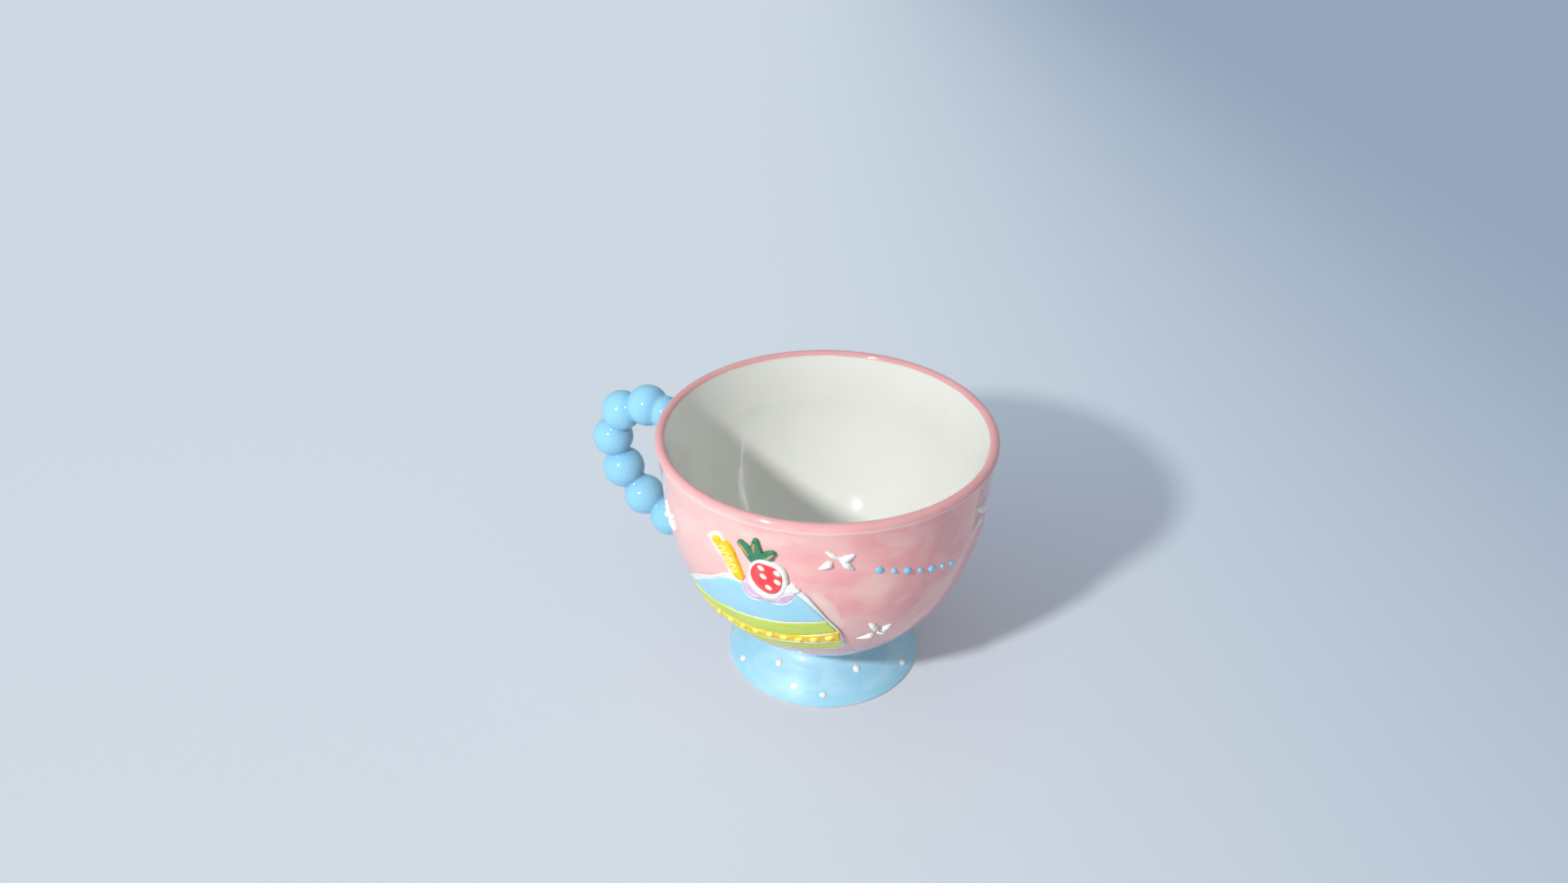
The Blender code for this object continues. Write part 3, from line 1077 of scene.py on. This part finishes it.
@dataclass
class CakeSlice:
    """The raised slice: white ground, blue icing, two layers of sponge and cream between."""

    wall: Wall
    fields: tuple[Field, ...] = (
        Field("slice_ground", Glaze.WHITE, 0.0007, (
            (-123.5, 0.0553), (-118.8, 0.0474), (-107.6, 0.0395), (-96.6, 0.0371), (-84.4, 0.0378),
            (-69.1, 0.0383), (-60.1, 0.0392), (-58.7, 0.0407), (-60.5, 0.0458), (-62.7, 0.0522),
            (-67.0, 0.0585), (-71.3, 0.0654), (-75.3, 0.0706), (-79.3, 0.0711), (-88.1, 0.0703),
            (-99.0, 0.0701), (-102.9, 0.0683), (-107.5, 0.0650), (-114.7, 0.0611),
        ), sharp=(0, 7), shoulder=0.0005, sink=0.0012),
        Field("icing", Glaze.BLUE, 0.0012, (
            (-120.6, 0.0548), (-112.7, 0.0607), (-107.0, 0.0642), (-102.3, 0.0672), (-98.4, 0.0685),
            (-90.3, 0.0684), (-76.3, 0.0689), (-74.2, 0.0668), (-69.2, 0.0610), (-67.0, 0.0578),
            (-74.9, 0.0566), (-87.1, 0.0546), (-100.3, 0.0537), (-112.2, 0.0528),
        ), sharp=(0, 6, 9)),
        Field("upper_sponge", Glaze.GREEN, 0.0012, (
            (-66.6, 0.0570), (-74.9, 0.0557), (-84.2, 0.0540), (-94.6, 0.0531), (-105.2, 0.0522),
            (-113.1, 0.0517), (-121.2, 0.0533), (-120.2, 0.0485), (-110.5, 0.0475), (-103.9, 0.0467),
            (-94.4, 0.0467), (-83.8, 0.0472), (-77.5, 0.0485), (-71.0, 0.0498), (-63.1, 0.0520),
        ), sharp=(0, 6, 14)),
        Field("cream", Glaze.YELLOW, 0.0014, (
            (-62.2, 0.0514), (-71.0, 0.0493), (-77.5, 0.0481), (-83.8, 0.0468), (-94.4, 0.0463),
            (-104.0, 0.0464), (-111.1, 0.0472), (-118.7, 0.0483), (-116.8, 0.0451), (-107.5, 0.0428),
            (-98.2, 0.0422), (-88.3, 0.0426), (-77.8, 0.0441), (-71.1, 0.0448), (-61.1, 0.0456),
        ), sharp=(0, 7, 14), shoulder=0.0005),
        Field("lower_sponge", Glaze.GREEN, 0.0011, (
            (-60.6, 0.0439), (-60.3, 0.0414), (-69.0, 0.0403), (-78.6, 0.0394), (-86.2, 0.0384),
            (-96.4, 0.0377), (-106.2, 0.0410), (-113.5, 0.0465), (-107.3, 0.0411), (-96.4, 0.0405),
            (-88.5, 0.0410), (-78.1, 0.0426), (-71.2, 0.0434),
        ), sharp=(0, 1, 7)),
    )
    edges: tuple[Line, ...] = (
        Line(0.00034, 0.0009, (
            (-123.1, 0.0554), (-114.0, 0.0616), (-107.0, 0.0654), (-102.3, 0.0683), (-98.7, 0.0698),
            (-95.2, 0.0692),
        )),
        Line(0.00032, 0.0006, (
            (-77.3, 0.0708), (-75.3, 0.0702), (-69.7, 0.0632), (-66.9, 0.0585), (-62.5, 0.0520),
            (-60.7, 0.0473), (-59.0, 0.0412),
        )),
        Line(0.00020, 0.0012, (
            (-66.7, 0.0574), (-74.9, 0.0562), (-81.1, 0.0550), (-87.1, 0.0543), (-94.4, 0.0537),
            (-101.5, 0.0532),
        )),
        Line(0.00020, 0.0013, ((-63.9, 0.0514), (-67.5, 0.0504), (-71.1, 0.0493))),
        Line(0.00020, 0.0011, ((-60.7, 0.0450), (-71.2, 0.0443), (-78.0, 0.0436), (-88.8, 0.0421))),
    )
    bump_count: int = 9
    bump_path: tuple[Place, Place, Place] = ((-65.2, 0.0485), (-87.1, 0.0436), (-110.1, 0.0462))
    bump_half_sizes: tuple[float, float, float] = (0.0017, 0.0012, 0.0008)
    bump_rise: float = 0.0013
    bump_sway: float = 0.0002
    bump_turn: float = 28.0
    bump_turn_change: float = 14.0

    def cream_bumps(self) -> Thing:
        """Make the row of pale bumps along the cream."""
        start, middle, end = (self.wall.drawn(place) for place in self.bump_path)
        bumps = []
        for number in range(self.bump_count):
            share = number / (self.bump_count - 1)
            place = start.lerp(middle, share).lerp(middle.lerp(end, share), share)
            place.y += self.bump_sway * math.sin(5.1 * number)
            place.z = self.bump_rise
            turn = self.bump_turn + self.bump_turn_change * math.sin(3.3 * number)
            bumps.append(Bench.drop("bump", place, self.bump_half_sizes, turn, taper=0.3, segments=14))
        return raise_on_wall("cream_bumps", Glaze.PALE_YELLOW, bumps, self.wall)

    def build(self) -> None:
        """Make the slice."""
        for area in self.fields:
            area.build(self.wall)
        edges = [line.draw(self.wall) for line in self.edges]
        raise_on_wall("slice_edges", Glaze.WHITE, edges, self.wall)
        self.cream_bumps()


@dataclass
class Topping:
    """What lies on the slice: two dollops, a berry with leaves and seeds, and a wafer."""

    wall: Wall
    fields: tuple[Field, ...] = (
        Field("wafer_ground", Glaze.WHITE, 0.0009, (
            (-107.2, 0.0824), (-105.6, 0.0839), (-102.5, 0.0855), (-101.1, 0.0841), (-97.5, 0.0783),
            (-94.1, 0.0707), (-95.2, 0.0680), (-97.2, 0.0683), (-101.2, 0.0750), (-106.5, 0.0812),
        ), sharp=(0, 2), shoulder=0.0005),
        Field("wafer", Glaze.AMBER, 0.0015, (
            (-104.7, 0.0825), (-103.2, 0.0842), (-101.6, 0.0841), (-100.9, 0.0830), (-99.3, 0.0830),
            (-97.6, 0.0814), (-96.0, 0.0779), (-94.5, 0.0738), (-93.9, 0.0704), (-95.5, 0.0698),
            (-98.5, 0.0728), (-102.4, 0.0792),
        ), shoulder=0.0006),
        Field("left_dollop", Glaze.LILAC, 0.0014, (
            (-94.4, 0.0692), (-93.9, 0.0670), (-92.6, 0.0647), (-90.5, 0.0636), (-87.9, 0.0638),
            (-83.8, 0.0641), (-84.5, 0.0673), (-87.9, 0.0693), (-92.7, 0.0707),
        ), shoulder=0.0009),
        Field("right_dollop", Glaze.LILAC, 0.0014, (
            (-85.6, 0.0643), (-82.3, 0.0641), (-79.7, 0.0646), (-77.7, 0.0662), (-76.3, 0.0684),
            (-76.3, 0.0698), (-77.8, 0.0702), (-80.5, 0.0689),
        ), shoulder=0.0009),
        Field("white_peak", Glaze.WHITE, 0.0015, (
            (-79.7, 0.0686), (-79.5, 0.0707), (-78.5, 0.0722), (-77.2, 0.0726), (-75.9, 0.0717),
            (-74.9, 0.0703), (-76.1, 0.0696), (-77.9, 0.0693),
        ), shoulder=0.0008),
        Field("berry_ground", Glaze.WHITE, 0.0016, (
            (-92.2, 0.0714), (-91.7, 0.0749), (-90.3, 0.0786), (-87.9, 0.0805), (-85.1, 0.0809),
            (-82.1, 0.0798), (-79.6, 0.0778), (-78.7, 0.0743), (-79.1, 0.0704), (-80.8, 0.0673),
            (-83.7, 0.0651), (-86.6, 0.0651), (-89.3, 0.0663), (-91.4, 0.0686),
        ), shoulder=0.0011),
        Field("berry", Glaze.RED, 0.0019, (
            (-90.9, 0.0745), (-89.7, 0.0783), (-87.7, 0.0799), (-85.0, 0.0798), (-82.0, 0.0789),
            (-80.2, 0.0766), (-79.9, 0.0736), (-80.7, 0.0705), (-82.2, 0.0686), (-84.7, 0.0678),
            (-87.3, 0.0687), (-89.6, 0.0709),
        ), shoulder=0.0010),
        Field("left_leaf", Glaze.LEAF, 0.0009, (
            (-95.3, 0.0845), (-94.3, 0.0858), (-93.1, 0.0854), (-90.1, 0.0829), (-88.3, 0.0792),
            (-90.6, 0.0784), (-92.6, 0.0803), (-94.2, 0.0827),
        ), shoulder=0.0003),
        Field("middle_leaf", Glaze.LEAF, 0.0010, (
            (-91.1, 0.0786), (-91.0, 0.0822), (-90.4, 0.0853), (-88.7, 0.0881), (-87.4, 0.0853),
            (-86.9, 0.0832), (-85.9, 0.0791),
        ), shoulder=0.0003),
        Field("right_leaf", Glaze.LEAF, 0.0010, (
            (-89.1, 0.0793), (-87.4, 0.0824), (-85.4, 0.0839), (-83.4, 0.0845), (-82.2, 0.0837),
            (-82.8, 0.0824), (-84.4, 0.0797), (-86.4, 0.0787),
        ), shoulder=0.0003),
    )
    seeds: tuple[Place, ...] = (
        (-86.9, 0.0780), (-81.8, 0.0771), (-86.2, 0.0749), (-81.7, 0.0737), (-84.6, 0.0709),
    )
    seed_half_sizes: tuple[float, float, float] = (0.00135, 0.00095, 0.0005)
    seed_rise: float = 0.0017
    seed_turn: float = -40.0
    grid: float = 0.0012
    squiggle: Line = Line(0.00028, 0.0015, (
        (-102.2, 0.0806), (-99.4, 0.0812), (-101.2, 0.0787), (-98.2, 0.0794), (-99.9, 0.0768),
        (-97.0, 0.0776), (-98.7, 0.0749), (-96.0, 0.0757), (-97.4, 0.0730), (-95.2, 0.0738),
    ))
    strokes: tuple[Line, ...] = (
        Line(0.00075, 0.0006, ((-94.8, 0.0848), (-93.3, 0.0831), (-91.5, 0.0807)), ends=0.6),
        Line(0.00060, 0.0008, ((-89.3, 0.0862), (-89.4, 0.0846), (-89.4, 0.0827)), ends=0.6),
        Line(0.00065, 0.0007, ((-85.9, 0.0806), (-84.4, 0.0821), (-83.0, 0.0835)), ends=0.6),
    )
    ridges: tuple[Line, ...] = (
        Line(0.00028, 0.0014, ((-93.0, 0.0696), (-92.1, 0.0673), (-90.8, 0.0656), (-88.5, 0.0655))),
        Line(0.00026, 0.0014, ((-91.4, 0.0701), (-90.0, 0.0682), (-88.0, 0.0667), (-85.8, 0.0654))),
        Line(0.00022, 0.0012, (
            (-94.3, 0.0685), (-93.8, 0.0667), (-92.5, 0.0644), (-90.5, 0.0634), (-88.0, 0.0637),
        )),
        Line(0.00026, 0.0014, ((-82.2, 0.0649), (-80.9, 0.0671), (-79.0, 0.0687), (-76.7, 0.0695))),
        Line(0.00022, 0.0012, (
            (-84.3, 0.0640), (-82.4, 0.0637), (-79.7, 0.0643), (-77.7, 0.0660), (-76.3, 0.0682),
        )),
    )

    def seed_drops(self) -> Thing:
        """Make the white seeds on the berry."""
        drops = []
        for place in self.seeds:
            at = self.wall.drawn(place, self.seed_rise)
            drops.append(Bench.drop("seed", at, self.seed_half_sizes, self.seed_turn, segments=16))
        return raise_on_wall("seeds", Glaze.WHITE, drops, self.wall)

    def build(self) -> None:
        """Make all that lies on the slice."""
        for area in self.fields:
            area.build(self.wall, self.grid)
        self.seed_drops()
        named_lines = (
            ("squiggle", Glaze.STRAW, (self.squiggle,)),
            ("leaf_strokes", Glaze.STROKE, self.strokes),
            ("dollop_ridges", Glaze.PALE_LILAC, self.ridges),
        )
        for name, glaze, lines in named_lines:
            raise_on_wall(name, glaze, [line.draw(self.wall) for line in lines], self.wall)


@dataclass(frozen=True)
class Petal:
    """One stroke of a full brush: its points from the flower's middle, and its radius at each."""

    points: tuple[Place, ...]
    radii: tuple[float, ...]


class Bloom(Enum):
    """The two ways in which the petals are set."""

    JOINED = (
        Petal(((-0.0045, 0.0034), (-0.0027, 0.0019), (-0.0011, 0.0009), (0.0004, 0.0004)),
              (0.0005, 0.0009, 0.0006, 0.0006)),
        Petal(((-0.0002, 0.0001), (0.0017, 0.0008), (0.0040, 0.0020)), (0.0009, 0.0013, 0.0005)),
        Petal(((0.0002, 0.0004), (0.0018, -0.0020), (0.0037, -0.0036)), (0.0010, 0.0014, 0.0006)),
        Petal(((-0.0027, -0.0010), (-0.0034, -0.0014), (-0.0048, -0.0024), (-0.0068, -0.0037)),
              (0.0005, 0.0013, 0.0011, 0.0003)),
    )
    LOOSE = (
        Petal(((-0.0031, 0.0058), (-0.0022, 0.0046), (-0.0010, 0.0026), (-0.0005, 0.0016)),
              (0.0004, 0.0011, 0.0013, 0.0004)),
        Petal(((0.0012, 0.0002), (0.0022, 0.0006), (0.0036, 0.0014), (0.0048, 0.0022)),
              (0.0004, 0.0012, 0.0010, 0.0003)),
        Petal(((-0.0008, -0.0013), (-0.0018, -0.0018), (-0.0038, -0.0025), (-0.0062, -0.0028)),
              (0.0004, 0.0012, 0.0008, 0.0002)),
        Petal(((0.0006, -0.0012), (0.0022, -0.0015), (0.0044, -0.0021)), (0.0004, 0.0010, 0.0003)),
    )


@dataclass
class Flowers:
    """The four-petalled flowers, as (azimuth, height, lean) and the way their petals are set."""

    wall: Wall
    places: tuple[tuple[float, float, float, Bloom], ...] = (
        (-62.4, 0.0828, 0, Bloom.JOINED), (-47.6, 0.0471, 0, Bloom.LOOSE),
        (-4.0, 0.0795, 20, Bloom.LOOSE), (-133.0, 0.0742, 0, Bloom.JOINED),
        (48.0, 0.0530, 12, Bloom.JOINED), (84.0, 0.0790, -10, Bloom.LOOSE),
        (126.0, 0.0560, 25, Bloom.LOOSE), (-158.0, 0.0400, 5, Bloom.JOINED),
    )

    def build(self) -> Thing:
        """Make every flower as one piece."""
        petals = []
        for azimuth, height, lean, bloom in self.places:
            centre = self.wall.drawn((azimuth, height))
            stretch = self.wall.belly_radius / float(self.wall.radius_at(height))
            turn = Matrix.Rotation(math.radians(lean), 4, "Z")
            place = Matrix.Translation(centre) @ Matrix.Diagonal((stretch, 1.0, 1.0, 1.0)) @ turn
            for petal in bloom.value:
                points = [place @ Vector((*point, 0.0)) for point in petal.points]
                petals.append(Bench.tube("petal", points, petal.radii))
        return raise_on_wall("flowers", Glaze.WHITE, petals, self.wall)


@dataclass
class RowOfDots:
    """A slanted row of small blue dots, large and small in turn."""

    wall: Wall
    count: int = 7
    start: Place = (-50.2, 0.0774)
    end: Place = (-20.9, 0.0684)
    large: float = 0.0013
    small: float = 0.0009
    rise: float = 0.0008

    def build(self) -> Thing:
        """Make the row."""
        start = self.wall.drawn(self.start)
        end = self.wall.drawn(self.end)
        dots = []
        for number in range(self.count):
            radius = self.small if number % 2 else self.large
            place = start.lerp(end, number / (self.count - 1))
            dots.append(Bench.drop("row dot", place, (radius, radius, self.rise), segments=18))
        return raise_on_wall("row_of_dots", Glaze.DOT_BLUE, dots, self.wall)


@dataclass
class Studio:
    """Camera, floor and light, none of which is part of the cup."""

    camera_place: tuple[float, float, float] = (0.1198, -0.2910, 0.2838)
    camera_tilt: float = 58.33
    camera_turn: float = 25.0
    camera_roll: float = -0.006
    lens: float = 24.885
    sensor: float = 36.0
    floor_size: float = 12.0
    pale_tone: Colour = srgb(206, 215, 223)
    shaded_tone: Colour = srgb(150, 165, 183)
    shaded_side: float = 25.0
    shade_start: float = -0.06
    shade_end: float = 0.56
    floor_limit: float = 0.86
    floor_roughness: float = 0.7
    floor_gloss: float = 0.2
    sky_share: float = 0.451
    key_share: float = 0.238
    key_place: tuple[float, float, float] = (-0.106, -0.432, 0.378)
    key_radius: float = 0.022
    key_power: float = 10.0
    sky_colour: Colour = srgb(236, 241, 247)
    sky_strength: float = 0.515

    def camera(self) -> None:
        """Set up the camera at the photo's angle."""
        data = bpy.data.cameras.new("camera")
        data.lens = self.lens
        data.sensor_width = self.sensor
        camera = bpy.data.objects.new("camera", data)
        bpy.context.scene.collection.objects.link(camera)
        angles = Euler((math.radians(self.camera_tilt), 0.0, math.radians(self.camera_turn)))
        aim = angles.to_matrix() @ Matrix.Rotation(self.camera_roll, 3, "Z")
        camera.matrix_world = Matrix.Translation(self.camera_place) @ aim.to_4x4()
        bpy.context.scene.camera = camera

    def paint(self) -> bpy.types.Material:
        """Make the floor's paint: painted light that cancels the near lamp's pool, with a glow where the
        lamp is weak, and painted shade towards one side.
        """
        paint = GlazeNodes("floor paint")
        across, away, _ = paint.axes()
        # Painted shade: the floor is painted darker towards the shaded side.
        turn = math.radians(self.shaded_side)
        sideways = across * math.cos(turn) + away * math.sin(turn)
        painted_shade = paint.step(sideways, self.shade_start, self.shade_end)
        tone = paint.mix(painted_shade, self.pale_tone, self.shaded_tone)
        # Painted light: the tone is divided by the light of the lamp and the sky, so the lamp's pool is
        # painted out; where that needs paint paler than the limit, the floor glows to paint the rest of the
        # light in.
        east = across - self.key_place[0]
        north = away - self.key_place[1]
        distance = east * east + north * north + self.key_place[2] ** 2
        light = self.key_share * self.key_place[2] / distance.math("POWER", distance, 1.5) + self.sky_share
        even = paint.vector("DIVIDE", tone, light)
        limit = (self.floor_limit,) * 3
        colour = paint.vector("MINIMUM", even, limit)
        painted_glow = paint.vector("SUBTRACT", tone, paint.vector("MULTIPLY", colour, light))
        connect(paint.tree, paint.shader.inputs["Emission Color"], painted_glow)
        paint.shader.inputs["Emission Strength"].default_value = 1.0
        paint.shader.inputs["Specular IOR Level"].default_value = self.floor_gloss
        return paint.finished(colour, self.floor_roughness)

    def floor(self) -> None:
        """Lay the pale floor."""
        Bench.clear()
        bpy.ops.mesh.primitive_plane_add(size=self.floor_size)
        floor = bpy.context.object
        floor.name = "floor"
        floor.data.materials.append(self.paint())

    def lights(self) -> None:
        """Hang the small key light and fill the room with soft light."""
        data = bpy.data.lights.new("key", "POINT")
        data.energy = self.key_power
        data.shadow_soft_size = self.key_radius
        key = bpy.data.objects.new("key", data)
        bpy.context.scene.collection.objects.link(key)
        key.location = self.key_place
        world = bpy.data.worlds.new("room")
        bpy.context.scene.world = world
        world.use_nodes = True
        sky = world.node_tree.nodes["Background"]
        sky.inputs["Color"].default_value = self.sky_colour
        sky.inputs["Strength"].default_value = self.sky_strength

    def build(self) -> None:
        """Set up the whole studio."""
        bpy.context.scene.view_settings.view_transform = "Standard"
        self.camera()
        self.floor()
        self.lights()


def main() -> None:
    """Build the cup's looks around the frame."""
    logging.basicConfig(level=logging.INFO, format="%(message)s")
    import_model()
    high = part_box(NODE)[1]
    wall = Wall(height=high.z, lip_radius=high.x)
    Studio().build()
    Bowl(wall).build()
    Foot(wall).build()
    Handle().build()
    CakeSlice(wall).build()
    Topping(wall).build()
    Flowers(wall).build()
    RowOfDots(wall).build()


if __name__ == "__main__":
    main()
